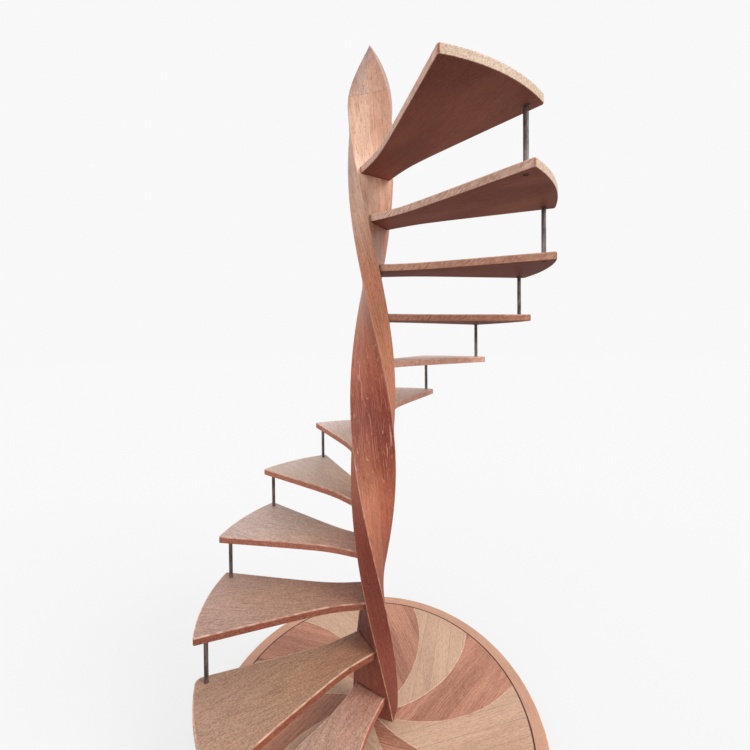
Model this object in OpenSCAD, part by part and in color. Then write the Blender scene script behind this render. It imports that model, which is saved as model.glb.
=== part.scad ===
// Spiral staircase in oiled oak: wing-shaped treads housed in a twisted slab
// column, hung from one another by thin steel tie rods, on a round swirl base.
// Millimetres, +Z up. Origin: column axis at floor level. The treads climb
// clockwise as seen from above.

/* [Stair] */
// Height from one tread top to the next
rise = 210; // [190:1:225]
// Turn from one tread to the next, degrees
step_angle = 27.25; // [24:0.25:30]
// Direction of the lowest tread from the column, degrees from +X
first_azimuth = 239; // [0:1:360]
// Height of the lowest tread top above the base top
first_rise = 116; // [95:1:140]

/* [Treads] */
// Column axis to the round outer edge
tread_radius = 750; // [650:5:850]
// Board thickness
tread_thickness = 30; // [28:1:40]
// Width of the end that enters the column
tread_root_width = 148; // [110:2:150]
// How far each tread reaches past its tie rods, degrees
tread_lap = 2.5; // [2.2:0.1:3.5]
// Distance from the axis at which the sides begin to flare
flare_start = 190; // [150:5:240]
// Length over which the flare eases in
flare_ease = 80; // [40:5:120]

/* [Column] */
// Broad side of the slab
column_width = 190; // [176:2:230]
// Narrow side of the slab
column_depth = 84; // [76:1:100]
// Distance from the axis to the end of a housed tread
housing_reach = 23; // [20:1:26]
// Top of the highest tread to the tip of the column
tip_height = 572; // [480:4:700]
// Length of the pointed part
tip_length = 300; // [260:5:400]
// Tip joint, below the point
tip_joint = 238; // [200:2:280]
// Middle joint, above the top of the sixth tread
splice_above = 112; // [90:2:140]
// Radius of the round spigot inside a column joint
spigot_radius = 17; // [12:1:19]
// Length of that spigot
spigot_length = 60; // [40:5:80]

/* [Tie rods] */
// Rod radius
rod_radius = 8.5; // [6:0.5:9]
// Column axis to the rod centre
rod_circle = 706; // [690:1:712]
// Depth of the blind socket in the tread above
socket_depth = 17; // [12:1:20]
// Collar radius
collar_radius = 12.5; // [10:0.5:14]
// Collar height
collar_height = 3; // [2:0.5:5]
// Radius of the stud below each rod
stud_radius = 5; // [4:0.5:6]
// Nut width over its corners
nut_width = 15; // [14:0.5:16]
// Nut height
nut_height = 6; // [5:0.5:6.5]
// Radius of the recess round the nut
recess_radius = 9; // [8.5:0.5:12]
// Depth of that recess
recess_depth = 8; // [7.5:0.5:10]

/* [Base] */
// Outer radius of the base
base_radius = 735; // [728:1:760]
// Width of the pale rim
rim_width = 59; // [50:1:66]
// Thickness of the base
base_height = 40; // [36:1:60]
// Thickness of the round floor board under the petals
board_height = 18; // [14:1:24]
// How far the board runs in under the rim
board_lap = 24; // [16:1:26]
// Radius of each petal's curved edge
petal_arc = 665; // [600:5:760]
// Distance by which those edges pass the axis
petal_offset = 28; // [20:1:34]
// Turn of the petals, degrees
petal_azimuth = 129.7; // [100:0.1:150]
// Turn of the rim's two joints, degrees
rim_joint = 152.5; // [140:0.5:170]

/* [Fits] */
// Gap between a tread and the top and sides of its housing
housing_gap = 0.3; // [0.2:0.05:0.5]
// Gap between a round pin and its bore, all round
bore_gap = 0.3; // [0.2:0.05:0.5]
// Gap between two petals, and between petals and rim
petal_gap = 0.3; // [0.2:0.05:0.6]
// Gap between the column foot and the petals round it
foot_gap = 0.3; // [0.2:0.05:0.6]
// Air left past the end of a pin
end_gap = 1; // [0.5:0.5:2]

/* [Hidden] */
$fn = 180;
treads = 12;
petals = 12;
step_z = [for (i = [0:treads - 1]) base_height + first_rise + i * rise];
column_top = step_z[treads - 1] + tip_height;
splice_z = step_z[5] + splice_above;
tip_z = column_top - tip_joint;
half_angle = step_angle / 2 + tread_lap;
corner_x = tread_radius * cos(half_angle);
corner_y = tread_radius * sin(half_angle);
root = tread_root_width / 2;
tenon_end = column_depth / 2 + 6;
flare = (corner_y - root) / (ease(corner_x) - ease(tenon_end));
side_steps = 18;
side_reach = tread_radius * 1.04;
ring_pitch = 15;
point_blunt = 0.012;
rim_inner = base_radius - rim_width;
cut = 2 * base_radius;

function ease(x) = (sqrt(pow(x - flare_start, 2) + pow(flare_ease, 2)) + x - flare_start) / 2;
function side_y(x) = root + flare * max(0, ease(x) - ease(tenon_end));
function side_x(i) = housing_reach + (side_reach - housing_reach) * i / side_steps;
function azimuth(i) = first_azimuth - (i - 1) * step_angle;
function tread_z(i) = step_z[i - 1] - tread_thickness;
// The slab turns with the treads: its broad side faces each of them squarely.
// Inside the base it stands straight.
function slab_turn(z) = first_azimuth
    - step_angle * (max(z, base_height) - step_z[0] + tread_thickness / 2) / rise;
function arch(u) = u >= 1 ? 1 : max(point_blunt, 1 - pow(1 - u, 2));
function slab_size(z) = arch((column_top - z) / tip_length);
function ring_at(z) = let (s = slab_size(z), t = slab_turn(z), x = s * column_depth / 2,
    y = s * column_width / 2)
    [for (p = [[x, -y], [x, y], [-x, y], [-x, -y]])
        [p[0] * cos(t) - p[1] * sin(t), p[0] * sin(t) + p[1] * cos(t), z]];

// Round base ------------------------------------------------------------

module base_board() color("sienna")
    cylinder(r = rim_inner + board_lap - petal_gap, h = board_height);

// One petal lies between two equal arcs, each passing the axis at the same offset.
module petal(i) {
    height = base_height - board_height;
    reach = petal_arc - petal_offset;
    color(i % 2 == 0 ? "sienna" : "burlywood") translate([0, 0, board_height])
        difference() {
            intersection() {
                cylinder(r = rim_inner - petal_gap, h = height);
                rotate(petal_azimuth + 30 * i) translate([reach, 0, 0])
                    cylinder(r = petal_arc - petal_gap / 2, h = height);
            }
            rotate(petal_azimuth + 30 * (i + 1)) translate([reach, 0, -1])
                cylinder(r = petal_arc + petal_gap / 2, h = height + 2);
            rotate(slab_turn(base_height)) translate([0, 0, height / 2])
                cube([column_depth + 2 * foot_gap, column_width + 2 * foot_gap, height + 2],
                    center = true);
        }
}

// Half of the rim, rebated underneath to sit over the board's edge.
module rim_half(turn) color("burlywood") difference() {
    cylinder(r = base_radius, h = base_height);
    translate([0, 0, -1]) cylinder(r = rim_inner, h = base_height + 2);
    translate([0, 0, -1]) cylinder(r = rim_inner + board_lap, h = board_height + 1);
    rotate(turn) translate([-cut, 0, -1]) cube([2 * cut, cut, base_height + 2]);
    rotate(azimuth(1) + step_angle / 2) translate([rod_circle, 0, base_height - socket_depth])
        cylinder(r = stud_radius + bore_gap, h = socket_depth + 1);
}

// Twisted column --------------------------------------------------------

// A length of the slab from z0 to z1, turning with height and pointed near the top.
module slab(z0, z1) {
    start = max(z0, base_height);
    steps = ceil((z1 - start) / ring_pitch);
    rings = concat(z0 < start ? [ring_at(z0)] : [],
        [for (i = [0:steps]) ring_at(start + (z1 - start) * i / steps)]);
    count = len(rings) - 1;
    points = [for (r = rings) for (p = r) p];
    sides = [for (i = [0:count - 1]) for (j = [0:3]) let (a = 4 * i + j, b = 4 * i + (j + 1) % 4)
        each [[a, a + 4, b + 4], [a, b + 4, b]]];
    top = 4 * count;
    polyhedron(points = points, faces = concat([[0, 1, 2, 3]], sides,
        [[top + 3, top + 2, top + 1, top]]));
}

// The mortise for tread i: its floor carries the tread, the other sides clear it.
module housing(i) rotate(azimuth(i))
    translate([housing_reach - housing_gap, -root - housing_gap, tread_z(i)])
        cube([column_depth, tread_root_width + 2 * housing_gap, tread_thickness + housing_gap]);

module column_lower() color("peru") difference() {
    slab(board_height, splice_z);
    for (i = [1:6]) housing(i);
    translate([0, 0, splice_z - spigot_length - end_gap])
        cylinder(r = spigot_radius + bore_gap, h = spigot_length + end_gap + 1);
}

module column_upper() color("tan") difference() {
    union() {
        slab(splice_z, tip_z);
        translate([0, 0, splice_z - spigot_length]) cylinder(r = spigot_radius, h = spigot_length + 5);
    }
    for (i = [7:12]) housing(i);
    translate([0, 0, tip_z - spigot_length - end_gap])
        cylinder(r = spigot_radius + bore_gap, h = spigot_length + end_gap + 1);
}

module column_tip() color("rosybrown") union() {
    slab(tip_z, column_top);
    translate([0, 0, tip_z - spigot_length]) cylinder(r = spigot_radius, h = spigot_length + 5);
}

// Treads ----------------------------------------------------------------

// Tread i, drawn along its own direction: rod i leaves its low-side corner,
// rod i + 1 stands on the other corner, over a stud that ends in a sunk nut.
module tread(i) color("burlywood") rotate(azimuth(i)) translate([0, 0, tread_z(i)])
    difference() {
        intersection() {
            linear_extrude(height = tread_thickness) polygon(concat(
                [for (k = [0:side_steps]) [side_x(k), -side_y(side_x(k))]],
                [for (k = [side_steps:-1:0]) [side_x(k), side_y(side_x(k))]]));
            cylinder(r = tread_radius, h = tread_thickness);
        }
        rotate(step_angle / 2) translate([rod_circle, 0, -1])
            cylinder(r = rod_radius + bore_gap, h = socket_depth + 1);
        if (i < treads) rotate(-step_angle / 2) translate([rod_circle, 0, -1]) {
            cylinder(r = stud_radius + bore_gap, h = tread_thickness + 2);
            cylinder(r = recess_radius, h = recess_depth + 1);
        }
    }

// Tie rods --------------------------------------------------------------

// Rod i ends in a socket of tread i. It stands on tread i - 1, whose hexagon nut
// holds the stud below it; the lowest rod stands on the rim, its stud in a blind hole.
module tie_rod(i) {
    seat = i > 1 ? step_z[i - 2] : base_height;
    nut = seat - tread_thickness + recess_depth - nut_height;
    foot = i > 1 ? nut - 1 : seat - socket_depth + end_gap;
    head = tread_z(i);
    color("dimgray") rotate(azimuth(i) + step_angle / 2) translate([rod_circle, 0, 0]) union() {
        translate([0, 0, foot]) cylinder(r = stud_radius, h = seat + 5 - foot);
        translate([0, 0, seat]) cylinder(r = rod_radius, h = head + socket_depth - end_gap - seat);
        translate([0, 0, head - collar_height]) cylinder(r = collar_radius, h = collar_height);
        if (i > 1) translate([0, 0, nut]) cylinder(r = nut_width / 2, h = nut_height, $fn = 6);
    }
}

module base_petal_01() petal(0);
module base_petal_02() petal(1);
module base_petal_03() petal(2);
module base_petal_04() petal(3);
module base_petal_05() petal(4);
module base_petal_06() petal(5);
module base_petal_07() petal(6);
module base_petal_08() petal(7);
module base_petal_09() petal(8);
module base_petal_10() petal(9);
module base_petal_11() petal(10);
module base_petal_12() petal(11);
module base_rim_left() rim_half(rim_joint);
module base_rim_right() rim_half(rim_joint + 180);
module tread_01() tread(1);
module tread_02() tread(2);
module tread_03() tread(3);
module tread_04() tread(4);
module tread_05() tread(5);
module tread_06() tread(6);
module tread_07() tread(7);
module tread_08() tread(8);
module tread_09() tread(9);
module tread_10() tread(10);
module tread_11() tread(11);
module tread_12() tread(12);
module tie_rod_01() tie_rod(1);
module tie_rod_02() tie_rod(2);
module tie_rod_03() tie_rod(3);
module tie_rod_04() tie_rod(4);
module tie_rod_05() tie_rod(5);
module tie_rod_06() tie_rod(6);
module tie_rod_07() tie_rod(7);
module tie_rod_08() tie_rod(8);
module tie_rod_09() tie_rod(9);
module tie_rod_10() tie_rod(10);
module tie_rod_11() tie_rod(11);
module tie_rod_12() tie_rod(12);

base_board();
base_petal_01();
base_petal_02();
base_petal_03();
base_petal_04();
base_petal_05();
base_petal_06();
base_petal_07();
base_petal_08();
base_petal_09();
base_petal_10();
base_petal_11();
base_petal_12();
base_rim_left();
base_rim_right();
column_lower();
column_upper();
column_tip();
tread_01();
tread_02();
tread_03();
tread_04();
tread_05();
tread_06();
tread_07();
tread_08();
tread_09();
tread_10();
tread_11();
tread_12();
tie_rod_01();
tie_rod_02();
tie_rod_03();
tie_rod_04();
tie_rod_05();
tie_rod_06();
tie_rod_07();
tie_rod_08();
tie_rod_09();
tie_rod_10();
tie_rod_11();
tie_rod_12();
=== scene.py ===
import math
import random

import bpy
import numpy as np
from mathutils import Matrix, Vector
from mathutils.kdtree import KDTree


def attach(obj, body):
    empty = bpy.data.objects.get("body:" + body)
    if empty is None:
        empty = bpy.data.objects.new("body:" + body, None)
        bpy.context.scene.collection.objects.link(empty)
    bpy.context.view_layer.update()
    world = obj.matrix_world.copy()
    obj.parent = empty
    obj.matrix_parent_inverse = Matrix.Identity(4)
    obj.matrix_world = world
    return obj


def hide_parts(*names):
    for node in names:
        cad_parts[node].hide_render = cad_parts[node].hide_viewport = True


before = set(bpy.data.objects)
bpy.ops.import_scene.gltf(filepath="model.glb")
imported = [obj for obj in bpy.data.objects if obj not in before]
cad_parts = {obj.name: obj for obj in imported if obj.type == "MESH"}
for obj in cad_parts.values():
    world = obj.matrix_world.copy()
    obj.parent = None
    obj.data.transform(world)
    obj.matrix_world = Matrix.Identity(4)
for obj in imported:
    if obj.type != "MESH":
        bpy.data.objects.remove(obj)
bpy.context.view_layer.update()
print("frame in place:", len(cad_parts), "nodes")

# The stair's own measures, in metres and degrees
stair = {
    "steps": 12,
    "rise": 0.210,
    "stepAngle": 27.25,       # the treads climb clockwise seen from above
    "firstAzimuth": 239.0,
    "firstTop": 0.156,
    "columnTop": 3.038,
    "baseHeight": 0.040,
    "boardHeight": 0.018,
    "rodCircle": 0.706,
    "rodRadius": 0.0085,
    "studRadius": 0.005,
    "gap": 0.0003,
}
chance = random.Random(11)


def stepTop(step):
    return stair["firstTop"] + (step - 1) * stair["rise"]


def stepAzimuth(step):
    return stair["firstAzimuth"] - (step - 1) * stair["stepAngle"]


def polar(radius, degrees):
    turn = math.radians(degrees)
    return radius * math.cos(turn), radius * math.sin(turn)


# Screen colour to the linear colour a shader takes
def tone(red, green, blue):
    return tuple((part / 255 / 12.92) if part <= 10 else ((part / 255 + 0.055) / 1.055) ** 2.4
                 for part in (red, green, blue)) + (1.0,)


# Mesh helpers
def newPiece(name, points, faces):
    mesh = bpy.data.meshes.new(name)
    mesh.from_pydata([tuple(map(float, point)) for point in points], [], faces)
    mesh.validate()
    piece = bpy.data.objects.new(name, mesh)
    bpy.context.collection.objects.link(piece)
    return piece


def ringFaces(rings, around):
    faces = []
    for ring in range(rings - 1):
        for step in range(around):
            after = (step + 1) % around
            faces.append((ring * around + step, ring * around + after,
                          (ring + 1) * around + after, (ring + 1) * around + step))
    return faces


# Rings run upwards, each one counter-clockwise from above, and both ends are closed
def stackRings(name, rings):
    around = len(rings[0])
    points = [point for ring in rings for point in ring]
    faces = ringFaces(len(rings), around)
    faces.append(tuple(reversed(range(around))))
    faces.append(tuple(range((len(rings) - 1) * around, len(rings) * around)))
    return newPiece(name, points, faces)


# (inset, height) of a rounded edge, from the face below it to the face above it
def quarterSteps(radius, steps, rising):
    turns = [math.radians(90 * step / steps) for step in range(steps + 1)]
    if rising:  # the lower edge of a board
        return [(radius * (1 - math.sin(turn)), radius * (1 - math.cos(turn))) for turn in turns]
    return [(radius * (1 - math.cos(turn)), -radius * (1 - math.sin(turn))) for turn in turns]


# A board of that outline with rounded edges; returns it with its points and edge values
def softPrism(name, outline, bottom, top, lowEdge, highEdge, steps=4, lowRub=1.0):
    flat = np.array(outline)
    along = np.roll(flat, -1, 0) - np.roll(flat, 1, 0)
    along /= np.linalg.norm(along, axis=1)[:, None]
    inward = np.stack([-along[:, 1], along[:, 0]], 1)
    support = 0.7
    levels = [(lowEdge * (1 + support), bottom, 0.0)]
    levels += [(inset, bottom + up, lowRub) for inset, up in quarterSteps(lowEdge, steps, True)]
    levels += [(0.0, bottom + lowEdge * (1 + support), 0.0), (0.0, top - highEdge * (1 + support), 0.0)]
    levels += [(inset, top + up, 1.0) for inset, up in quarterSteps(highEdge, steps, False)]
    levels += [(highEdge * (1 + support), top, 0.0)]
    rings = []
    for inset, height, _ in levels:
        ring = flat + inward * inset
        rings.append(np.column_stack([ring, np.full(len(ring), height)]))
    piece = stackRings(name, rings)
    edges = np.repeat([level[2] for level in levels], len(flat))
    return piece, np.concatenate(rings), edges


# Profile of (radius, height) turned about z, closed at both ends; a level marked in sides is a hexagon
def lathe(name, profile, around=32, sides=None):
    rings = []
    for level, (radius, height) in enumerate(profile):
        ring = []
        for step in range(around):
            turn = 2 * math.pi * step / around
            reach = radius
            if sides and level in sides:
                reach *= math.cos(math.pi / 6) / math.cos((turn + math.pi / 6) % (math.pi / 3) - math.pi / 6)
            ring.append((reach * math.cos(turn), reach * math.sin(turn), height))
        rings.append(ring)
    return stackRings(name, rings)


def join(name, parts):
    points, faces = [], []
    for part in parts:
        start = len(points)
        points += [tuple(part.matrix_world @ vertex.co) for vertex in part.data.vertices]
        faces += [tuple(start + index for index in face.vertices) for face in part.data.polygons]
        dropPiece(part)
    return newPiece(name, points, faces)


def dropPiece(piece):
    mesh = piece.data
    bpy.data.objects.remove(piece)
    bpy.data.meshes.remove(mesh)


def moveMesh(piece, degrees=0.0, shift=(0.0, 0.0, 0.0)):
    piece.data.transform(Matrix.Rotation(math.radians(degrees), 4, "Z") @ Matrix.Translation(shift))
    return piece


# Takes the cutter out of the piece for good
def carve(piece, cutter):
    step = piece.modifiers.new("carve", "BOOLEAN")
    step.object, step.operation, step.solver = cutter, "DIFFERENCE", "EXACT"
    shaped = bpy.data.meshes.new_from_object(piece.evaluated_get(bpy.context.evaluated_depsgraph_get()))
    piece.modifiers.clear()
    old, piece.data = piece.data, shaped
    bpy.data.meshes.remove(old)
    dropPiece(cutter)
    return piece


def meshPoints(piece):
    points = np.empty(len(piece.data.vertices) * 3, np.float32)
    piece.data.vertices.foreach_get("co", points)
    return points.reshape(-1, 3).astype(float)


def paint(piece, name, values):
    values = np.asarray(values, np.float32)
    kind, field = ("FLOAT_VECTOR", "vector") if values.ndim == 2 else ("FLOAT", "value")
    layer = piece.data.attributes.new(name, kind, "POINT")
    layer.data.foreach_set(field, values.ravel())


# Values of the uncut mesh, found again on the points that the cutting left where they were
def carryOver(piece, points, values):
    tree = KDTree(len(points))
    for index, point in enumerate(points):
        tree.insert(point, index)
    tree.balance()
    kept = np.zeros(len(piece.data.vertices))
    for index, vertex in enumerate(piece.data.vertices):
        _, near, distance = tree.find(vertex.co)
        if distance < 2e-5:
            kept[index] = values[near]
    return kept


def dress(piece, material, node, sharpAngle=34):
    piece.data.materials.clear()
    piece.data.materials.append(material)
    piece.data.shade_smooth()
    piece.data.set_sharp_from_angle(angle=math.radians(sharpAngle))
    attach(piece, "root")
    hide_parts(node)
    return piece


# Node helpers
def addNode(tree, kind, sockets=None, **settings):
    node = tree.nodes.new("ShaderNode" + kind)
    for name, value in settings.items():
        setattr(node, name, value)
    for name, value in (sockets or {}).items():
        if isinstance(value, bpy.types.NodeSocket):
            tree.links.new(value, node.inputs[name])
        else:
            node.inputs[name].default_value = value
    return node


# A value painted on the mesh's points
def readAttribute(tree, name, output="Fac"):
    return addNode(tree, "Attribute", attribute_name=name).outputs[output]


def reckon(tree, operation, *values, clamp=False):
    node = addNode(tree, "Math", dict(enumerate(values)), operation=operation, use_clamp=clamp)
    return node.outputs[0]


def ramp(tree, value, low, high, newLow=0.0, newHigh=1.0, soft=True):
    node = addNode(tree, "MapRange", {"Value": value, "From Min": low, "From Max": high,
                                      "To Min": newLow, "To Max": newHigh},
                   interpolation_type="SMOOTHSTEP" if soft else "LINEAR")
    return node.outputs["Result"]


def mixTone(tree, amount, first, second, mode="MIX"):
    node = addNode(tree, "Mix", data_type="RGBA", blend_type=mode)
    for name, value in (("Factor_Float", amount), ("A_Color", first), ("B_Color", second)):
        socket = next(each for each in node.inputs if each.identifier == name)
        if isinstance(value, bpy.types.NodeSocket):
            tree.links.new(value, socket)
        else:
            socket.default_value = value
    return next(each for each in node.outputs if each.identifier == "Result_Color")


def stretchedNoise(tree, vector, stretch, detail=2.0, roughness=0.5):
    moved = addNode(tree, "Mapping", {"Vector": vector, "Scale": stretch})
    return addNode(tree, "TexNoise", {"Vector": moved.outputs[0], "Scale": 1.0, "Detail": detail,
                                      "Roughness": roughness})


def newGroup(name, inputs, outputs):
    tree = bpy.data.node_groups.new(name, "ShaderNodeTree")
    for label, kind, value in inputs:
        socket = tree.interface.new_socket(name=label, in_out="INPUT", socket_type="NodeSocket" + kind)
        if value is not None:
            socket.default_value = value
    for label in outputs:
        tree.interface.new_socket(name=label, in_out="OUTPUT", socket_type="NodeSocketFloat")
    return tree, tree.nodes.new("NodeGroupInput").outputs, tree.nodes.new("NodeGroupOutput").inputs


def useGroup(tree, group, sockets):
    return addNode(tree, "Group", sockets, node_tree=group).outputs


# Grain coordinates run along the wood in x, across it in y and through it in z.
# The broad figure: growth rings cut flat, tone bands and slow patches
def buildGrainFigure():
    tree, given, out = newGroup("grainFigure", [
        ("Grain", "Vector", None), ("Ring Spacing", "Float", 0.008), ("Wander", "Float", 0.02),
    ], ["Rings", "Streaks", "Patches", "Threads"])
    drift = stretchedNoise(tree, given["Grain"], (1.4, 5.0, 5.0))
    centred = addNode(tree, "VectorMath", {0: drift.outputs["Color"], 1: (0.5, 0.5, 0.5)},
                      operation="SUBTRACT")
    scaled = addNode(tree, "VectorMath", {0: centred.outputs[0], "Scale": given["Wander"]}, operation="SCALE")
    moved = addNode(tree, "VectorMath", {0: scaled.outputs[0], 1: given["Grain"]}, operation="ADD")
    split = addNode(tree, "SeparateXYZ", {"Vector": moved.outputs[0]}).outputs
    lean = reckon(tree, "MULTIPLY_ADD", split["X"], 0.05, 0.105)
    depth = reckon(tree, "ADD", split["Z"], lean)
    flat = addNode(tree, "CombineXYZ", {"X": split["Y"], "Y": depth})
    radius = addNode(tree, "VectorMath", {0: flat.outputs[0]}, operation="LENGTH").outputs["Value"]
    phase = reckon(tree, "FRACT", reckon(tree, "DIVIDE", radius, given["Ring Spacing"]))
    rise = ramp(tree, phase, 0.0, 0.16)
    fall = ramp(tree, phase, 0.22, 0.85, 1.0, 0.0)
    tree.links.new(reckon(tree, "MULTIPLY", rise, fall), out["Rings"])
    streaks = stretchedNoise(tree, given["Grain"], (2.2, 42.0, 42.0), 2.0, 0.55)
    tree.links.new(ramp(tree, streaks.outputs["Fac"], 0.3, 0.7), out["Streaks"])
    patches = stretchedNoise(tree, given["Grain"], (2.4, 7.0, 7.0), 1.0)
    tree.links.new(ramp(tree, patches.outputs["Fac"], 0.32, 0.68), out["Patches"])
    contour = stretchedNoise(tree, given["Grain"], (1.5, 20.0, 20.0), 1.0)
    wave = reckon(tree, "FRACT", reckon(tree, "MULTIPLY", contour.outputs["Fac"], 15.0))
    line = ramp(tree, reckon(tree, "ABSOLUTE", reckon(tree, "SUBTRACT", wave, 0.5)), 0.02, 0.09, 1.0, 0.0)
    broken = stretchedNoise(tree, given["Grain"], (14.0, 60.0, 60.0), 3.0, 0.65)
    dashes = ramp(tree, broken.outputs["Fac"], 0.44, 0.54)
    tree.links.new(reckon(tree, "MULTIPLY", line, dashes), out["Threads"])
    return tree


# The fine grain: fibres, dark pores and pale ray flecks
def buildGrainFibre():
    tree, given, out = newGroup("grainFibre", [("Grain", "Vector", None), ("Coarseness", "Float", 1.0)],
                                ["Fibre", "Pores", "Flecks", "Speckle"])
    finer = reckon(tree, "DIVIDE", 1.0, given["Coarseness"])
    sized = addNode(tree, "VectorMath", {0: given["Grain"], "Scale": finer}, operation="SCALE").outputs[0]
    fibre = stretchedNoise(tree, sized, (16.0, 300.0, 300.0), 3.0, 0.65)
    tree.links.new(ramp(tree, fibre.outputs["Fac"], 0.3, 0.7, soft=False), out["Fibre"])
    pores = stretchedNoise(tree, sized, (34.0, 240.0, 240.0), 2.0, 0.6)
    tree.links.new(ramp(tree, pores.outputs["Fac"], 0.56, 0.68), out["Pores"])
    flecks = stretchedNoise(tree, sized, (60.0, 90.0, 320.0), 1.0, 0.5)
    tree.links.new(ramp(tree, flecks.outputs["Fac"], 0.60, 0.72), out["Flecks"])
    speckle = stretchedNoise(tree, sized, (95.0, 150.0, 150.0), 4.0, 0.8)
    tree.links.new(ramp(tree, speckle.outputs["Fac"], 0.34, 0.66, soft=False), out["Speckle"])
    return tree


# Boards glued side by side and end to end: each one's own tone, and the joints between them
def buildBoardLayout():
    tree, given, out = newGroup("boardLayout", [
        ("Grain", "Vector", None), ("Board Width", "Float", 0.09), ("Board Length", "Float", 5.0),
        ("Joint Width", "Float", 0.0008),
    ], ["Board", "Joints"])
    split = addNode(tree, "SeparateXYZ", {"Vector": given["Grain"]}).outputs
    across = reckon(tree, "DIVIDE", split["Y"], given["Board Width"])
    column = reckon(tree, "FLOOR", across)
    stagger = reckon(tree, "MULTIPLY", column, 0.37)
    along = reckon(tree, "ADD", reckon(tree, "DIVIDE", split["X"], given["Board Length"]), stagger)
    row = reckon(tree, "FLOOR", along)
    cell = addNode(tree, "CombineXYZ", {"X": column, "Y": row})
    board = addNode(tree, "TexWhiteNoise", {"Vector": cell.outputs[0]}, noise_dimensions="3D")
    tree.links.new(board.outputs["Value"], out["Board"])
    seams = []
    for place, size in ((across, given["Board Width"]), (along, given["Board Length"])):
        part = reckon(tree, "FRACT", place)
        near = reckon(tree, "MINIMUM", part, reckon(tree, "SUBTRACT", 1.0, part))
        seams.append(reckon(tree, "LESS_THAN", reckon(tree, "MULTIPLY", near, size), given["Joint Width"]))
    tree.links.new(reckon(tree, "MAXIMUM", *seams), out["Joints"])
    return tree


# Rubbed edges with a painted highlight along them, broken up so that they don't run as an even line
def buildHandWear():
    tree, given, out = newGroup("handWear", [
        ("Grain", "Vector", None), ("Edge", "Float", 0.0), ("Amount", "Float", 0.6),
    ], ["Wear"])
    broken = stretchedNoise(tree, given["Grain"], (28.0, 60.0, 60.0), 3.0, 0.6)
    patchy = ramp(tree, broken.outputs["Fac"], 0.34, 0.62, 0.25, 1.0)
    tree.links.new(reckon(tree, "MULTIPLY", reckon(tree, "MULTIPLY", patchy, given["Edge"]), given["Amount"],
                          clamp=True), out["Wear"])
    return tree


# The column's tones by height, on its broad or its narrow faces: the wood's tone with painted light in it,
# darker low down partly from painted shade of the treads, and a painted highlight just under the top tread
# that lifts the shade it casts
def zoneTone(tree, height, zones):
    node = addNode(tree, "ValToRGB", {"Fac": reckon(tree, "DIVIDE", height, stair["columnTop"])})
    stops = node.color_ramp.elements
    for stop, (level, colour) in ((stops[1], zones[-1]), (stops[0], zones[0])):
        stop.position, stop.color = level / stair["columnTop"], colour
    for level, colour in zones[1:-1]:
        stops.new(level / stair["columnTop"]).color = colour
    return node.outputs["Color"]


grainFigure, grainFibre = buildGrainFigure(), buildGrainFibre()
boardLayout, handWear = buildBoardLayout(), buildHandWear()

oakBasics = {
    "ringSpacing": 0.009, "wander": 0.02, "coarseness": 1.0,
    "rings": 0.16, "streaks": 0.16, "patches": 0.20, "fibre": 0.42, "boards": 0.0,
    "pores": 0.45, "flecks": 0.10, "boardWidth": 0.09, "boardLength": 5.0, "joints": 0.0,
    "edge": 0.6, "speckle": 0.0, "threads": 0.0, "seamShade": 0.0, "zones": None, "isTread": False,
    "roughLow": 0.42, "roughHigh": 0.62, "coat": 0.04, "coatRoughness": 0.35, "specular": 0.30,
    "bump": 0.00035,
}


heartOff = {"across": 0.004, "through": 0.010}  # of the wood's heart from the column's middle


# Tones by height on broad and narrow faces; on a broad face the right-hand stave is redder
def columnTone(tree, has, grain, figure, shade):
    split = addNode(tree, "SeparateXYZ", {"Vector": grain}).outputs
    loose = reckon(tree, "MULTIPLY_ADD", reckon(tree, "SUBTRACT", figure["Patches"], 0.5), 0.12, split["X"])
    narrow = readAttribute(tree, "narrow")
    middle = mixTone(tree, narrow, zoneTone(tree, loose, has["zones"]),
                     zoneTone(tree, loose, has["sideZones"]))
    facing = reckon(tree, "SIGN", reckon(tree, "SUBTRACT", split["Z"], heartOff["through"]))
    hand = reckon(tree, "MULTIPLY", reckon(tree, "SUBTRACT", split["Y"], heartOff["across"]), facing)
    stave = ramp(tree, hand, -0.0006, 0.0006, has["staveLeft"], has["staveRight"])
    broad = reckon(tree, "SUBTRACT", 1.0, narrow)
    middle = mixTone(tree, reckon(tree, "MULTIPLY", stave, broad), middle, has["staveTint"], "MULTIPLY")
    pale = mixTone(tree, 1.0, middle, has["paler"], "MULTIPLY")
    dark = mixTone(tree, 1.0, middle, has["darker"], "MULTIPLY")
    return mixTone(tree, shade, pale, dark)
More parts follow.
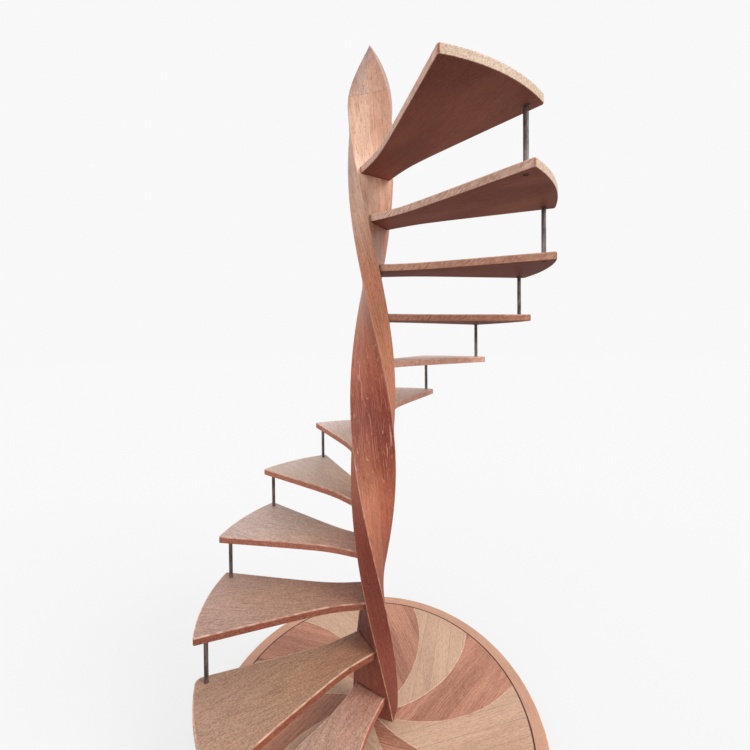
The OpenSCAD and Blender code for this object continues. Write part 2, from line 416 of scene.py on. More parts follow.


# Tops greyed by feet and light; rear edges sawn and made pale by painted light; open end grain, paler partly
# from a painted highlight; undersides partly stained and partly painted shade and bounce light; painted shade
# where the tread enters the column
def treadTone(tree, has, figure, fine, shade, colour):
    place = readAttribute(tree, "place", "Vector")
    split = addNode(tree, "SeparateXYZ", {"Vector": place}).outputs
    loose = reckon(tree, "MULTIPLY_ADD", figure["Patches"], 0.16, split["X"])
    spread = ramp(tree, loose, 0.05, 0.46, 0.40, 1.0)
    walkedTone = mixTone(tree, shade, has["walkedPale"], has["walkedDark"])
    outer = ramp(tree, loose, 0.34, 0.84, 0.0, has["outerGrey"])
    walkedTone = mixTone(tree, outer, walkedTone, mixTone(tree, shade, has["greyPale"], has["greyDark"]))
    walked = reckon(tree, "MULTIPLY", readAttribute(tree, "walked"), spread)
    colour = mixTone(tree, reckon(tree, "MULTIPLY", walked, has["walked"]), colour, walkedTone)
    # undersides: a darker, redder tone, partly stain and partly painted shade and bounce light
    undersideStainAndShade = mixTone(tree, figure["Patches"], has["underPale"], has["underDark"])
    under = reckon(tree, "MULTIPLY", readAttribute(tree, "under"), has["under"])
    colour = mixTone(tree, under, colour, undersideStainAndShade)
    # rear edges: sawn strokes in a pale tone that is painted light, standing in for light from the left
    slant = addNode(tree, "Mapping", {"Vector": place, "Rotation": (0, 0.7, 0)}).outputs[0]
    strokes = stretchedNoise(tree, slant, (40.0, 150.0, 420.0), 3.0, 0.65).outputs["Fac"]
    sawnAndLit = mixTone(tree, ramp(tree, strokes, 0.34, 0.66), has["rearLitPale"], has["rearLitDark"])
    colour = mixTone(tree, reckon(tree, "MULTIPLY", readAttribute(tree, "rear"), has["rear"]), colour, sawnAndLit)
    colour = mixTone(tree, 1.0, colour, readAttribute(tree, "boardTint", "Color"), "MULTIPLY")
    # outer end grain: pale partly from the open grain and partly a painted highlight
    ends = reckon(tree, "MULTIPLY", readAttribute(tree, "endGrain"), has["endGrain"])
    colour = mixTone(tree, ends, colour, mixTone(tree, fine["Speckle"], has["endGrainLitPale"], has["endGrainLitDark"]))
    nicks = ramp(tree, stretchedNoise(tree, place, (170.0, 170.0, 300.0), 1.0).outputs["Fac"], 0.56, 0.60)
    nearTop = ramp(tree, split["Z"], 0.023, 0.029)
    nicks = reckon(tree, "MULTIPLY", reckon(tree, "MULTIPLY", nicks, nearTop), ends)
    colour = mixTone(tree, nicks, colour, has["pore"])
    # painted shade: the tread darkens towards its housed end, where it goes into the column
    housingShade = ramp(tree, split["X"], 0.040, 0.056, has["housingShade"], 0.0)
    return mixTone(tree, housingShade, colour, has["pore"])


# Oiled oak; look gives its tones and how strongly each part of the grain shows
def oakMaterial(name, look, grainFrom="attribute"):
    has = {**oakBasics, **look}
    material = bpy.data.materials.new(name)
    material.use_nodes = True
    tree = material.node_tree
    tree.nodes.clear()
    if grainFrom == "attribute":
        grain = readAttribute(tree, "grain", "Vector")
    else:
        place = addNode(tree, "TexCoord").outputs["Object"]
        grain = addNode(tree, "Mapping", {"Vector": place, "Rotation": (0, 0, 0.6)}).outputs[0]
    figure = useGroup(tree, grainFigure, {"Grain": grain, "Ring Spacing": has["ringSpacing"],
                                          "Wander": has["wander"]})
    fine = useGroup(tree, grainFibre, {"Grain": grain, "Coarseness": has["coarseness"]})
    layout = useGroup(tree, boardLayout, {"Grain": grain, "Board Width": has["boardWidth"],
                                          "Board Length": has["boardLength"]})
    shade = 0.5
    for source, strength in ((figure["Rings"], has["rings"]), (figure["Streaks"], has["streaks"]),
                             (figure["Patches"], has["patches"]), (fine["Fibre"], has["fibre"]),
                             (fine["Speckle"], has["speckle"]), (layout["Board"], has["boards"])):
        if strength:
            centred = reckon(tree, "SUBTRACT", source, 0.5)
            shade = reckon(tree, "MULTIPLY_ADD", centred, strength, shade)
    shade = reckon(tree, "ADD", shade, 0.0, clamp=True)
    if has["zones"]:
        colour = columnTone(tree, has, grain, figure, shade)
    else:
        colour = mixTone(tree, shade, has["pale"], has["dark"])
    colour = mixTone(tree, reckon(tree, "MULTIPLY", fine["Pores"], has["pores"]), colour, has["pore"])
    colour = mixTone(tree, reckon(tree, "MULTIPLY", fine["Flecks"], has["flecks"]), colour, has["fleck"])
    if has["threads"]:
        lines = reckon(tree, "MULTIPLY", figure["Threads"], has["threads"])
        if has["zones"]:  # only on the broad faces at mid height
            along = addNode(tree, "SeparateXYZ", {"Vector": grain}).outputs["X"]
            band = reckon(tree, "MULTIPLY", ramp(tree, along, 0.95, 1.25),
                          ramp(tree, along, 1.65, 1.90, 1.0, 0.0))
            lines = reckon(tree, "MULTIPLY", reckon(tree, "MULTIPLY", lines, band),
                           reckon(tree, "SUBTRACT", 1.0, readAttribute(tree, "narrow")))
        colour = mixTone(tree, lines, colour, has["fleck"])
    if has["isTread"]:
        colour = treadTone(tree, has, figure, fine, shade, colour)
    if has["seamShade"]:  # painted shade: a dark ring along the seam inside the rim, where the gap holds shade
        level = addNode(tree, "VectorMath", {0: readAttribute(tree, "place", "Vector"), 1: (1, 1, 0)},
                        operation="MULTIPLY").outputs[0]
        reach = addNode(tree, "VectorMath", {0: level}, operation="LENGTH").outputs["Value"]
        off = reckon(tree, "ABSOLUTE", reckon(tree, "SUBTRACT", reach, has["seamAt"]))
        colour = mixTone(tree, ramp(tree, off, 0.0026, 0.0046, has["seamShade"], 0.0), colour, has["seamShadeTone"])
    if has["joints"]:
        seams = reckon(tree, "MULTIPLY", layout["Joints"], has["joints"])
        colour = mixTone(tree, seams, colour, has["joint"])
    if grainFrom == "attribute":
        # pale edges: rubbed wear and a painted highlight along the rounded arrises
        wornAndHighlight = useGroup(tree, handWear, {"Grain": grain, "Edge": readAttribute(tree, "edge"),
                                         "Amount": has["edge"]})
        colour = mixTone(tree, wornAndHighlight["Wear"], colour, has["wornAndHighlight"])
    height = reckon(tree, "MULTIPLY_ADD", fine["Pores"], -1.0, reckon(tree, "MULTIPLY", fine["Fibre"], 0.6))
    height = reckon(tree, "MULTIPLY_ADD", layout["Joints"], -1.5 * (has["joints"] > 0), height)
    bump = addNode(tree, "Bump", {"Height": height, "Strength": 0.7, "Distance": has["bump"]})
    rough = ramp(tree, fine["Fibre"], 0.0, 1.0, has["roughLow"], has["roughHigh"], soft=False)
    shader = addNode(tree, "BsdfPrincipled", {
        "Base Color": colour, "Roughness": rough, "Normal": bump.outputs[0],
        "Specular IOR Level": has["specular"], "Coat Weight": has["coat"],
        "Coat Roughness": has["coatRoughness"]})
    addNode(tree, "OutputMaterial", {"Surface": shader.outputs[0]})
    return material


# Treads
treadShape = {
    "reach": 0.023,           # from the axis to the housed end
    "radius": 0.750,
    "thickness": 0.030,
    "rootHalf": 0.074,
    "lap": 2.5,               # degrees past the rods
    "flareStart": 0.190,
    "flareEase": 0.080,
    "tenonEnd": 0.048,
    "corner": 0.009,          # rounding of the two outer corners, in plan
    "softCorner": 0.026,      # the second tread's rear corner is rounder
    "lowEdge": 0.0022,
    "highEdge": 0.0034,
    "sideSteps": 34,
    "recess": (0.009, 0.008),
    "socket": 0.017,
}
treadLook = {
    "isTread": True,
    "pale": tone(190, 124, 102), "dark": tone(120, 66, 54), "pore": tone(72, 38, 30),
    "fleck": tone(222, 176, 150), "wornAndHighlight": tone(236, 200, 174),
    "walkedPale": tone(214, 184, 162), "walkedDark": tone(136, 104, 88),
    "greyPale": tone(222, 200, 190), "greyDark": tone(146, 122, 114), "outerGrey": 0.85,
    "underPale": tone(150, 88, 72), "underDark": tone(124, 66, 52), "under": 0.72,
    "rearLitPale": tone(226, 186, 166), "rearLitDark": tone(156, 108, 90), "rear": 0.9,
    "endGrainLitPale": tone(236, 214, 188), "endGrainLitDark": tone(170, 136, 110), "endGrain": 0.9,
    "walked": 0.92, "edge": 0.5, "boards": 0.08, "boardWidth": 0.115, "housingShade": 0.8,
    "rings": 0.10, "streaks": 0.08, "fibre": 0.40, "patches": 0.14, "speckle": 0.75, "coarseness": 0.9,
    # each tread's own tint, from the lowest up
    "tints": [(1.02, 0.93, 0.90), (0.70, 0.58, 0.46), (0.72, 0.62, 0.56), (1.00, 1.00, 1.00),
              (1.04, 1.06, 1.04), (1.08, 1.12, 1.14), (0.95, 0.82, 0.76), (1.14, 1.04, 1.00),
              (0.76, 0.56, 0.46), (0.90, 0.78, 0.68), (1.04, 1.12, 1.14), (1.00, 1.04, 1.06)],
}


def easeOut(x):
    past = x - treadShape["flareStart"]
    return (math.hypot(past, treadShape["flareEase"]) + past) / 2


halfAngle = math.radians(stair["stepAngle"] / 2 + treadShape["lap"])
cornerX = treadShape["radius"] * math.cos(halfAngle)
cornerY = treadShape["radius"] * math.sin(halfAngle)
flare = (cornerY - treadShape["rootHalf"]) / (easeOut(cornerX) - easeOut(treadShape["tenonEnd"]))


def halfWidth(x):
    return treadShape["rootHalf"] + flare * max(0.0, easeOut(x) - easeOut(treadShape["tenonEnd"]))


# One side from the housed end to where it meets the round outer edge, with its rounded corner
def treadSide(cornerRadius):
    low, high = 0.5, cornerX
    for _ in range(40):  # where the corner's circle touches the side
        x = (low + high) / 2
        slope = (halfWidth(x + 1e-4) - halfWidth(x - 1e-4)) / 2e-4
        size = math.hypot(slope, 1)
        centre = (x + cornerRadius * slope / size, halfWidth(x) - cornerRadius / size)
        if math.hypot(*centre) < treadShape["radius"] - cornerRadius:
            low = x
        else:
            high = x
    steps = treadShape["sideSteps"]
    side = [(xs, halfWidth(xs)) for xs in
            (treadShape["reach"] + (x - treadShape["reach"]) * step / steps for step in range(steps + 1))]
    start = math.atan2(side[-1][1] - centre[1], side[-1][0] - centre[0])
    end = math.atan2(centre[1], centre[0])
    corner = []
    for step in range(1, 9):
        turn = start + (end - start) * step / 8
        corner.append((centre[0] + cornerRadius * math.cos(turn), centre[1] + cornerRadius * math.sin(turn)))
    return side + corner


def treadOutline(step):
    noseSide = treadSide(treadShape["corner"])
    rearSide = treadSide(treadShape["softCorner"] if step == 2 else treadShape["corner"])
    low = math.atan2(rearSide[-1][1], rearSide[-1][0])
    high = math.atan2(noseSide[-1][1], noseSide[-1][0])
    outer = [polar(treadShape["radius"], math.degrees(-low + (low + high) * part / 26))
             for part in range(1, 26)]
    return [(x, -y) for x, y in rearSide] + outer + list(reversed(noseSide))


def buildTread(step, material):
    name = f"treadBoard{step:02d}"
    shape = treadShape
    board, points, edges = softPrism(name, treadOutline(step), 0.0, shape["thickness"],
                                     shape["lowEdge"], shape["highEdge"], lowRub=0.2)
    bore, narrowBore = stair["rodRadius"] + stair["gap"], stair["studRadius"] + stair["gap"]
    half = stair["stepAngle"] / 2
    socket = lathe("cut", [(bore, -0.01), (bore, shape["socket"])])
    cuts = [moveMesh(socket, half, (stair["rodCircle"], 0, 0))]
    if step < stair["steps"]:
        wide, deep = shape["recess"]
        through = lathe("cut", [(wide, -0.01), (wide, deep), (narrowBore, deep), (narrowBore, 0.05)], 40)
        cuts.append(moveMesh(through, -half, (stair["rodCircle"], 0, 0)))
    carve(board, join("cutters", cuts))
    local = meshPoints(board)
    shift = (chance.uniform(-1.2, 1.2), chance.uniform(-0.10, 0.10), chance.uniform(-0.03, 0.04))
    outward = np.hypot(local[:, 0], local[:, 1]) / shape["radius"]
    paint(board, "grain", local + np.array(shift))
    paint(board, "edge", carryOver(board, points, edges))
    paint(board, "walked", local[:, 2] > shape["thickness"] - 1e-5)
    paint(board, "endGrain", outward > 0.9992)
    paint(board, "place", local)
    paint(board, "under", local[:, 2] < 1e-5)
    wall = np.array([halfWidth(x) for x in local[:, 0]])
    paint(board, "rear", (local[:, 1] < 0.0008 - wall) & (local[:, 0] < cornerX))
    paint(board, "boardTint", np.tile(treadLook["tints"][step - 1], (len(local), 1)))
    moveMesh(board, 0, (0, 0, stepTop(step) - shape["thickness"]))
    moveMesh(board, stepAzimuth(step))
    return dress(board, material, f"tread_{step:02d}")


treadOak = oakMaterial("treadOak", treadLook)
for step in range(1, stair["steps"] + 1):
    buildTread(step, treadOak)
print("treads built")

# Column
columnShape = {
    "width": 0.190,
    "depth": 0.084,
    "edge": 0.0045,           # rounding of the four long edges
    "tipLength": 0.300,
    "blunt": 0.012,
    "pitch": 0.0075,          # height between the rings of the mesh
    "jointEase": 0.0008,
    "splice": 1.318,
    "tipJoint": 2.800,
    "housing": (0.023, 0.1486, 0.0303),
}


def slabTurn(z):
    lift = max(z, stair["baseHeight"]) - stair["firstTop"] + treadShape["thickness"] / 2
    return math.radians(stair["firstAzimuth"] - stair["stepAngle"] * lift / stair["rise"])


def slabScale(z):
    part = (stair["columnTop"] - z) / columnShape["tipLength"]
    return 1.0 if part >= 1 else max(columnShape["blunt"], 1 - (1 - part) ** 2)


def slabSection(scale, inset=0.0):
    halfX = columnShape["depth"] / 2 * scale - inset
    halfY = columnShape["width"] / 2 * scale - inset
    edge = columnShape["edge"] * min(1.0, scale * 1.5) * scale
    section = []
    corners = ((1, -1, -90), (1, 1, 0), (-1, 1, 90), (-1, -1, 180))
    for index, (signX, signY, start) in enumerate(corners):
        centre = (signX * (halfX - edge), signY * (halfY - edge))
        for part in range(5):
            turn = math.radians(start + 90 * part / 4)
            section.append((centre[0] + edge * math.cos(turn), centre[1] + edge * math.sin(turn)))
        afterX, afterY, afterStart = corners[(index + 1) % 4]
        target = (afterX * (halfX - edge) + edge * math.cos(math.radians(afterStart)),
                  afterY * (halfY - edge) + edge * math.sin(math.radians(afterStart)))
        last = section[-1]
        span = math.dist(last, target)
        stops = [0.0035 * scale / span] + [part / 10 for part in range(1, 10)] + [1 - 0.0035 * scale / span]
        if index % 2:  # the narrow side needs fewer points
            stops = [stops[0], 0.25, 0.5, 0.75, stops[-1]]
        section += [(last[0] + (target[0] - last[0]) * stop, last[1] + (target[1] - last[1]) * stop)
                    for stop in stops]
    return section


def slabRing(z, inset=0.0):
    turn = slabTurn(z)
    cosine, sine = math.cos(turn), math.sin(turn)
    return [(x * cosine - y * sine, x * sine + y * cosine, z) for x, y in slabSection(slabScale(z), inset)]


def buildLength(name, bottom, top, steps, material, node):
    ease = columnShape["jointEase"]
    count = round((top - bottom) / columnShape["pitch"])
    heights = [bottom + ease + (top - bottom - 2 * ease) * part / count for part in range(count + 1)]
    rings = [slabRing(bottom, ease)] + [slabRing(z) for z in heights]
    rings.append(slabRing(top, ease if top < stair["columnTop"] else 0.0))
    length = stackRings(name, rings)
    if steps:
        reach, width, height = columnShape["housing"]
        boxes = []
        for step in steps:
            floor = stepTop(step) - treadShape["thickness"]
            corners = [(x, y) for x, y in ((reach, -width / 2), (0.12, -width / 2), (0.12, width / 2),
                                           (reach, width / 2))]
            box = stackRings("box", [[(x, y, z) for x, y in corners] for z in (floor, floor + height)])
            boxes.append(moveMesh(box, stepAzimuth(step)))
        carve(length, join("housings", boxes))
    points = meshPoints(length)
    turns = np.array([slabTurn(z) for z in points[:, 2]])
    scales = np.array([slabScale(z) for z in points[:, 2]])
    deep = points[:, 0] * np.cos(turns) + points[:, 1] * np.sin(turns)
    wide = points[:, 1] * np.cos(turns) - points[:, 0] * np.sin(turns)
    edge = columnShape["edge"] * np.minimum(1, scales * 1.5) * scales
    nearX = np.abs(deep) - (columnShape["depth"] / 2 * scales - edge * 0.75)
    nearY = np.abs(wide) - (columnShape["width"] / 2 * scales - edge * 0.75)
    paint(length, "grain", np.column_stack([points[:, 2], wide + heartOff["across"],
                                            deep + heartOff["through"]]))
    paint(length, "edge", (nearX > 0) & (nearY > 0))
    paint(length, "narrow", np.abs(wide) > columnShape["width"] / 2 * scales - edge * 0.4)
    return dress(length, material, node)


columnBasics = {
    "pore": tone(84, 38, 28), "fleck": tone(236, 184, 156), "wornAndHighlight": tone(232, 184, 158),
    "paler": (1.24, 1.28, 1.32, 1), "darker": (0.66, 0.58, 0.54, 1),
    "staveTint": (0.88, 0.68, 0.62, 1), "staveLeft": 0.0, "staveRight": 0.8,
    # painted light in these stops: the one at 2.42 is a painted highlight lifting the top tread's shade on
    # the column, and the low stops here and in sideZones hold painted shade of the treads as well as darker
    # wood
    "zones": [(0.02, tone(144, 90, 76)), (0.28, tone(134, 81, 68)), (0.45, tone(106, 68, 62)),
              (0.70, tone(153, 91, 68)), (0.95, tone(182, 116, 90)), (1.12, tone(166, 101, 75)),
              (1.26, tone(156, 89, 71)), (1.36, tone(146, 81, 69)), (1.50, tone(160, 87, 69)),
              (1.62, tone(182, 107, 83)), (1.80, tone(170, 109, 84)), (2.05, tone(178, 122, 96)),
              (2.28, tone(200, 158, 132)), (2.42, tone(246, 206, 178)), (2.54, tone(210, 170, 144)),
              (2.70, tone(214, 174, 148)), (2.83, tone(200, 154, 128)), (2.98, tone(174, 138, 124))],
    "sideZones": [(0.05, tone(114, 60, 47)), (0.35, tone(130, 67, 54)), (0.58, tone(118, 57, 45)),
                  (0.80, tone(128, 62, 50)), (1.00, tone(150, 88, 68)), (1.30, tone(166, 100, 78)),
                  (1.46, tone(198, 130, 98)), (1.70, tone(208, 140, 105)), (1.95, tone(192, 127, 96)),
                  (2.10, tone(188, 138, 111)), (2.25, tone(204, 163, 141)), (2.55, tone(194, 157, 138)),
                  (2.98, tone(178, 144, 130))],
    "ringSpacing": 0.011, "wander": 0.03, "rings": 0.16, "streaks": 0.22, "patches": 0.16, "fibre": 0.44,
    "speckle": 0.36, "boards": 0.10, "boardWidth": 0.095, "boardLength": 0.62, "edge": 0.5, "pores": 0.40,
    "flecks": 0.10, "threads": 0.60,
}
upperLook = {**columnBasics, "boardLength": 0.74, "staveRight": 0.5, "threads": 0.35, "edge": 0.28}
tipLook = {**columnBasics, "staveTint": (0.84, 0.94, 1.10, 1), "staveLeft": 0.9, "staveRight": 0.0,
           "threads": 0.0, "edge": 0.2}
buildLength("columnLowerLength", stair["boardHeight"], columnShape["splice"], range(1, 7),
            oakMaterial("columnLowerOak", columnBasics), "column_lower")
buildLength("columnUpperLength", columnShape["splice"], columnShape["tipJoint"], range(7, 13),
            oakMaterial("columnUpperOak", upperLook), "column_upper")
buildLength("columnPoint", columnShape["tipJoint"], stair["columnTop"], (),
            oakMaterial("columnTipOak", tipLook), "column_tip")
print("column built")

# Base
baseShape = {
    "radius": 0.735,
    "rim": 0.059,
    "petals": 12,
    "petalArc": 0.665,
    "petalOffset": 0.028,
    "petalAzimuth": 129.7,
    "petalGrain": -25.7,      # turn of a petal's grain from its own azimuth
    "petalEdge": 0.0011,
    "rimJoint": 152.5,
    "rimEdge": 0.004,
    "boardLap": 0.024,
}
baseBasics = {"seamShade": 0.9, "seamShadeTone": tone(66, 20, 6), "seamAt": baseShape["radius"] - baseShape["rim"]}
paleLook = {
    **baseBasics,
    "pale": tone(210, 175, 149), "dark": tone(156, 118, 94), "pore": tone(120, 82, 64),
    "fleck": tone(236, 206, 182), "wornAndHighlight": tone(238, 208, 184), "joint": tone(120, 84, 66),
    "boards": 0.16, "boardWidth": 0.072, "joints": 0.45,
    "edge": 0.9, "streaks": 0.10, "rings": 0.08, "fibre": 0.26, "speckle": 0.36, "pores": 0.3,
}
darkLook = {
    **baseBasics,
    "pale": tone(192, 136, 110), "dark": tone(124, 75, 58), "pore": tone(96, 54, 42),
    "fleck": tone(228, 180, 156), "wornAndHighlight": tone(236, 196, 170), "joint": tone(96, 54, 42),
    "boards": 0.42, "boardWidth": 0.058, "joints": 0.3,
    "edge": 0.5, "flecks": 0.12, "streaks": 0.20, "speckle": 0.26, "threads": 0.10,
}
rimLook = {
    **paleLook, "pale": tone(206, 160, 134), "dark": tone(164, 120, 97), "boards": 0.0, "joints": 0.0,
    "edge": 0.75, "patches": 0.14, "fibre": 0.24, "speckle": 0.24, "pores": 0.22,
}
paleOak, darkOak = oakMaterial("basePaleOak", paleLook), oakMaterial("baseDarkOak", darkLook)
rimOak = oakMaterial("baseRimOak", rimLook)


# Between two arcs of one radius, a petal's turn apart, out to the rim
def petalOutline(index):
    gap = stair["gap"] / 2
    far = baseShape["petalArc"] - baseShape["petalOffset"]
    rimReach = baseShape["radius"] - baseShape["rim"] - 2 * gap
    share = 360 / baseShape["petals"]
    arcs = []
    for which, radius in ((0, baseShape["petalArc"] - gap), (1, baseShape["petalArc"] + gap)):
        aim = baseShape["petalAzimuth"] + share * (index + which)
        centre = np.array(polar(far, aim))
        bearing = (far ** 2 + rimReach ** 2 - radius ** 2) / (2 * far * rimReach)
        rimPoint = np.array(polar(rimReach, aim - math.degrees(math.acos(bearing))))
        arcs.append((centre, radius, rimPoint))
    (first, firstRadius, firstRim), (second, secondRadius, secondRim) = arcs
    apart = second - first  # the two arcs meet just past the axis
    span = np.linalg.norm(apart)
    along = (span ** 2 + firstRadius ** 2 - secondRadius ** 2) / (2 * span)
    away = math.sqrt(firstRadius ** 2 - along ** 2)
    middle = first + apart / span * along
    side = np.array([-apart[1], apart[0]]) / span
    meet = min((middle + side * away, middle - side * away), key=np.linalg.norm)

    def arc(centre, radius, start, end, steps=36):
        a = math.atan2(*(start - centre)[::-1])
        b = math.atan2(*(end - centre)[::-1])
        b = a + (b - a + math.pi) % (2 * math.pi) - math.pi
        turns = [a + (b - a) * step / steps for step in range(steps + 1)]
        return [tuple(centre + radius * np.array([math.cos(turn), math.sin(turn)])) for turn in turns]

    outline = arc(first, firstRadius, meet, firstRim)
    rimPath = arc(np.zeros(2), rimReach, firstRim, secondRim, 16)
    outline += rimPath[1:-1] + list(reversed(arc(second, secondRadius, meet, secondRim)))[:-1]
    return outline


def signedArea(outline):
    flat = np.array(outline)
    after = np.roll(flat, -1, 0)
    return float(np.sum(flat[:, 0] * after[:, 1] - after[:, 0] * flat[:, 1]) / 2)


def buildPetal(index):
    outline = petalOutline(index)
    if signedArea(outline) < 0:
        outline.reverse()
    petal, points, edges = softPrism(f"swirlPetal{index + 1:02d}", outline, stair["boardHeight"],
                                     stair["baseHeight"], baseShape["petalEdge"], baseShape["petalEdge"], 2)
    foot = columnShape["depth"] / 2 + stair["gap"], columnShape["width"] / 2 + stair["gap"]
    corners = [(-foot[0], -foot[1]), (foot[0], -foot[1]), (foot[0], foot[1]), (-foot[0], foot[1])]
    box = stackRings("foot", [[(x, y, z) for x, y in corners] for z in (0.0, 0.1)])
    carve(petal, moveMesh(box, math.degrees(slabTurn(0))))
    cutPoints = meshPoints(petal)
    aim = baseShape["petalAzimuth"] + 360 / baseShape["petals"] * index + baseShape["petalGrain"]
    cosine, sine = math.cos(math.radians(aim)), math.sin(math.radians(aim))
    along = cutPoints[:, 0] * cosine + cutPoints[:, 1] * sine
    across = cutPoints[:, 1] * cosine - cutPoints[:, 0] * sine
    shift = (chance.uniform(-1, 1), chance.uniform(-0.1, 0.1), chance.uniform(-0.03, 0.03))
    paint(petal, "grain", np.column_stack([along, across, cutPoints[:, 2]]) + np.array(shift))
    rimward = np.hypot(cutPoints[:, 0], cutPoints[:, 1])
    atRim = rimward > baseShape["radius"] - baseShape["rim"] - 0.0021
    paint(petal, "edge", carryOver(petal, points, edges) * ~atRim)
    paint(petal, "place", cutPoints)
    dark = index % 2 == 0
    return dress(petal, darkOak if dark else paleOak, f"base_petal_{index + 1:02d}")


def buildRim(name, start, node):
    shape = baseShape
    inner, outer = shape["radius"] - shape["rim"], shape["radius"]
    lap, board, top = shape["boardLap"], stair["boardHeight"], stair["baseHeight"]
    profile = [(inner + lap, 0.0), (outer - 0.002, 0.0), (outer, 0.002)]
    profile += [(outer - inset, top + up) for inset, up in quarterSteps(shape["rimEdge"], 5, False)]
    profile += [(outer - shape["rimEdge"] * 1.7, top), (inner + 0.0024, top), (inner + 0.0014, top - 0.0004),
                (inner + 0.0003, top - 0.0020), (inner, top - 0.0040), (inner, board), (inner + lap, board)]
    steps = 150
    margin = math.degrees(stair["gap"] / 2 / outer)
    points, faces = [], []
    for step in range(steps + 1):
        turn = start + margin + (180 - 2 * margin) * step / steps
        points += [(*polar(radius, turn), z) for radius, z in profile]
    around = len(profile)
    for step in range(steps):
        for index in range(around):
            after = (index + 1) % around
            faces.append((step * around + index, (step + 1) * around + index,
                          (step + 1) * around + after, step * around + after))
    faces.append(tuple(range(around)))
    faces.append(tuple(steps * around + index for index in reversed(range(around))))
    rim = newPiece(name, points, [tuple(reversed(face)) for face in faces])
    bore = lathe("cut", [(stair["studRadius"] + stair["gap"], top - treadShape["socket"]),
                         (stair["studRadius"] + stair["gap"], top + 0.01)])
    carve(rim, moveMesh(bore, stepAzimuth(1) + stair["stepAngle"] / 2, (stair["rodCircle"], 0, 0)))
    rimPoints = meshPoints(rim)
    reach = np.hypot(rimPoints[:, 0], rimPoints[:, 1])
    turns = (np.arctan2(rimPoints[:, 1], rimPoints[:, 0]) - math.radians(start) + 0.01) % (2 * math.pi)
    # start, added along the grain, gives each half its own wood
    paint(rim, "grain", np.column_stack([turns * outer + start, reach - 0.6, rimPoints[:, 2]]))
    paint(rim, "place", rimPoints)
    paint(rim, "edge", (reach > outer - shape["rimEdge"] * 0.99) & (rimPoints[:, 2] > top - shape["rimEdge"]))
    return dress(rim, rimOak, node)


for index in range(baseShape["petals"]):
    buildPetal(index)
buildRim("rimHalfLeft", baseShape["rimJoint"], "base_rim_left")
buildRim("rimHalfRight", baseShape["rimJoint"] + 180, "base_rim_right")
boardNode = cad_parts["base_board"]
boardNode.data.materials.clear()
boardNode.data.materials.append(oakMaterial("floorBoardOak", {**darkLook, "seamShade": 0.0}, "place"))
print("base built")

# Tie rods
rodShape = {
    "collar": (0.0125, 0.003),
    "nut": (0.0075, 0.006),   # corner radius and height
    "shoulder": 0.0008,
    "tail": 0.001,
}
rodLook = {
    "bare": tone(126, 114, 110), "dull": tone(80, 70, 67), "rust": tone(96, 70, 61),
    "metallic": 0.6, "roughLow": 0.34, "roughHigh": 0.58,
}


def rodMaterial():
    material = bpy.data.materials.new("tieRodSteel")
    material.use_nodes = True
    tree = material.node_tree
    tree.nodes.clear()
    place = addNode(tree, "TexCoord").outputs["Object"]
    cloud = stretchedNoise(tree, place, (60.0, 60.0, 18.0), 3.0, 0.6).outputs["Fac"]
    scratch = stretchedNoise(tree, place, (900.0, 900.0, 40.0), 2.0, 0.6).outputs["Fac"]
    spots = ramp(tree, stretchedNoise(tree, place, (220.0, 220.0, 160.0), 2.0).outputs["Fac"], 0.60, 0.72)
    colour = mixTone(tree, ramp(tree, cloud, 0.35, 0.65), rodLook["bare"], rodLook["dull"])
    colour = mixTone(tree, reckon(tree, "MULTIPLY", spots, 0.5), colour, rodLook["rust"])
    rough = ramp(tree, cloud, 0.3, 0.7, rodLook["roughLow"], rodLook["roughHigh"], soft=False)
    height = reckon(tree, "MULTIPLY_ADD", spots, 0.6, scratch)
    bump = addNode(tree, "Bump", {"Height": height, "Strength": 0.5, "Distance": 0.0002})
    shader = addNode(tree, "BsdfPrincipled", {"Base Color": colour, "Metallic": rodLook["metallic"],
                                              "Roughness": rough, "Normal": bump.outputs[0]})
    addNode(tree, "OutputMaterial", {"Surface": shader.outputs[0]})
    return material


def buildRod(step, material):
    radius, ease = stair["rodRadius"], rodShape["shoulder"]
    collar, collarHeight = rodShape["collar"]
    nut, nutHeight = rodShape["nut"]
    stud, tail = stair["studRadius"], rodShape["tail"]
    seat = stepTop(step - 1) if step > 1 else stair["baseHeight"]
    head = stepTop(step) - treadShape["thickness"]
    hexagon = set()
    if step > 1:
        over = seat - treadShape["thickness"] + treadShape["recess"][1]
        low = over - nutHeight
        profile = [(stud - ease, low - tail), (stud, low - tail + ease), (stud, low), (nut * 0.90, low),
                   (nut, low + 0.001), (nut, over - 0.0006), (nut * 0.95, over), (stud, over)]
        hexagon = {4, 5}
    else:
        foot = seat - treadShape["socket"] + tail
        profile = [(stud - ease, foot), (stud, foot + ease)]
    profile += [(stud, seat), (radius, seat)]
    profile += [(radius, head - collarHeight), (collar - ease, head - collarHeight),
                (collar, head - collarHeight + ease), (collar, head), (radius, head),
                (radius, head + treadShape["socket"] - tail - ease),
                (radius - ease, head + treadShape["socket"] - tail)]
    rod = lathe(f"tieRodTurned{step:02d}", profile, 48, hexagon)
    moveMesh(rod, stepAzimuth(step) + stair["stepAngle"] / 2, (stair["rodCircle"], 0, 0))
    return dress(rod, material, f"tie_rod_{step:02d}")


rodSteel = rodMaterial()
for step in range(1, stair["steps"] + 1):
    buildRod(step, rodSteel)
print("tie rods built")

# Studio
studio = {
    "floorSeen": (0.655, 0.655, 0.655, 1),
    "floorGlow": 0.75,        # how far the floor's shadows are lifted
    "floorGives": (0.25, 0.22, 0.21, 1),
    "backdrop": (0.94, 0.94, 0.94, 1),
    "skyAbove": (0.95, 0.95, 0.96, 1),
    "skyLow": (1.30, 1.28, 1.27, 1),
    "key": 1.9,
    "keySoft": 34,
    "keyFrom": (1.0, -0.42, 0.95),
    "fill": 0.8,
    "fillFrom": (-0.7, -0.8, 0.25),
}


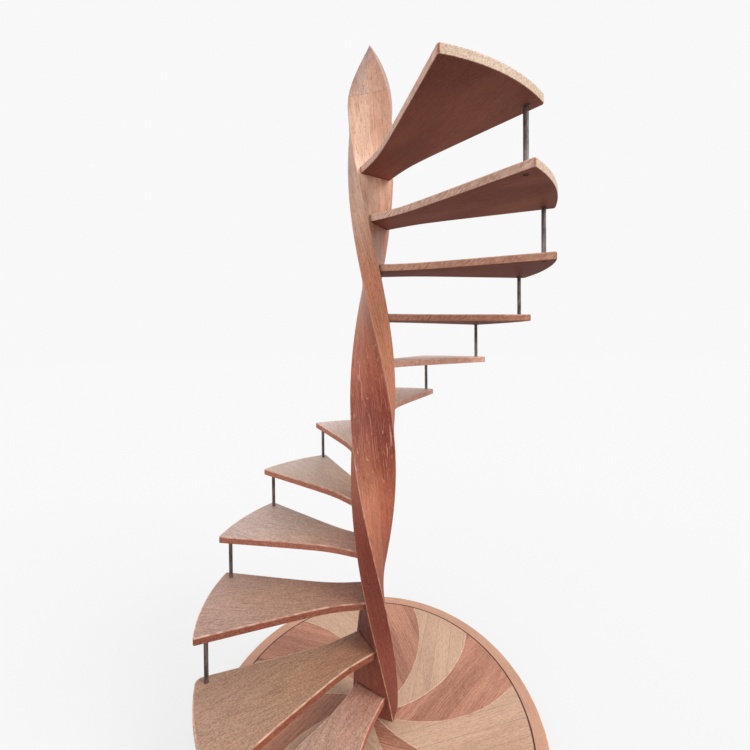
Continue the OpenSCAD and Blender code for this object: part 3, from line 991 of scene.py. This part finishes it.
def buildStudio():
    bpy.ops.mesh.primitive_circle_add(vertices=96, radius=40, fill_type="NGON", location=(0, 0, 0))
    floor = bpy.context.object
    floor.name = "studioFloor"
    material = bpy.data.materials.new("studioFloorPaint")
    material.use_nodes = True
    tree = material.node_tree
    tree.nodes.clear()
    lit = addNode(tree, "BsdfDiffuse", {"Color": studio["floorSeen"]})
    glow = addNode(tree, "Emission", {"Color": studio["backdrop"]})
    seen = addNode(tree, "MixShader", {0: studio["floorGlow"], 1: lit.outputs[0], 2: glow.outputs[0]})
    gives = addNode(tree, "BsdfDiffuse", {"Color": studio["floorGives"]})
    camera = addNode(tree, "LightPath").outputs["Is Camera Ray"]
    mixed = addNode(tree, "MixShader", {0: camera, 1: gives.outputs[0], 2: seen.outputs[0]})
    addNode(tree, "OutputMaterial", {"Surface": mixed.outputs[0]})
    floor.data.materials.append(material)
    world = bpy.data.worlds.new("studioAir")
    bpy.context.scene.world = world
    world.use_nodes = True
    tree = world.node_tree
    tree.nodes.clear()
    aim = addNode(tree, "TexCoord").outputs["Generated"]
    up = addNode(tree, "SeparateXYZ", {"Vector": aim}).outputs["Z"]
    light = mixTone(tree, ramp(tree, up, 0.0, 0.6), studio["skyLow"], studio["skyAbove"])
    glow = addNode(tree, "Background", {"Color": light})
    seen = addNode(tree, "Background", {"Color": studio["backdrop"]})
    camera = addNode(tree, "LightPath").outputs["Is Camera Ray"]
    mixed = addNode(tree, "MixShader", {0: camera, 1: glow.outputs[0], 2: seen.outputs[0]})
    addNode(tree, "OutputWorld", {"Surface": mixed.outputs[0]})
    for name, power, soft, source in (("softKey", studio["key"], studio["keySoft"], studio["keyFrom"]),
                                      ("wideFill", studio["fill"], 80, studio["fillFrom"])):
        lamp = bpy.data.lights.new(name, "SUN")
        lamp.energy, lamp.angle = power, math.radians(soft)
        light = bpy.data.objects.new(name, lamp)
        bpy.context.collection.objects.link(light)
        light.rotation_euler = Vector(source).to_track_quat("Z", "Y").to_euler()
    bpy.context.scene.view_settings.view_transform = "Standard"


view = {
    "lens": 17.694,
    "shift": (0.0036, -0.0367),
    "eye": (0, -1.6657, 1.7124),
    "dip": 0.84,              # degrees below level
    "roll": 0.50,
}


def buildCamera():
    data = bpy.data.cameras.new("standingView")
    data.sensor_width = 36
    data.lens = view["lens"]
    data.shift_x, data.shift_y = view["shift"]
    camera = bpy.data.objects.new("standingView", data)
    bpy.context.collection.objects.link(camera)
    tilt = Matrix.Rotation(math.radians(90 - view["dip"]), 4, "X")
    roll = Matrix.Rotation(math.radians(-view["roll"]), 4, "Z")
    camera.matrix_world = Matrix.Translation(view["eye"]) @ tilt @ roll
    bpy.context.scene.camera = camera


buildStudio()
buildCamera()
print("studio built")
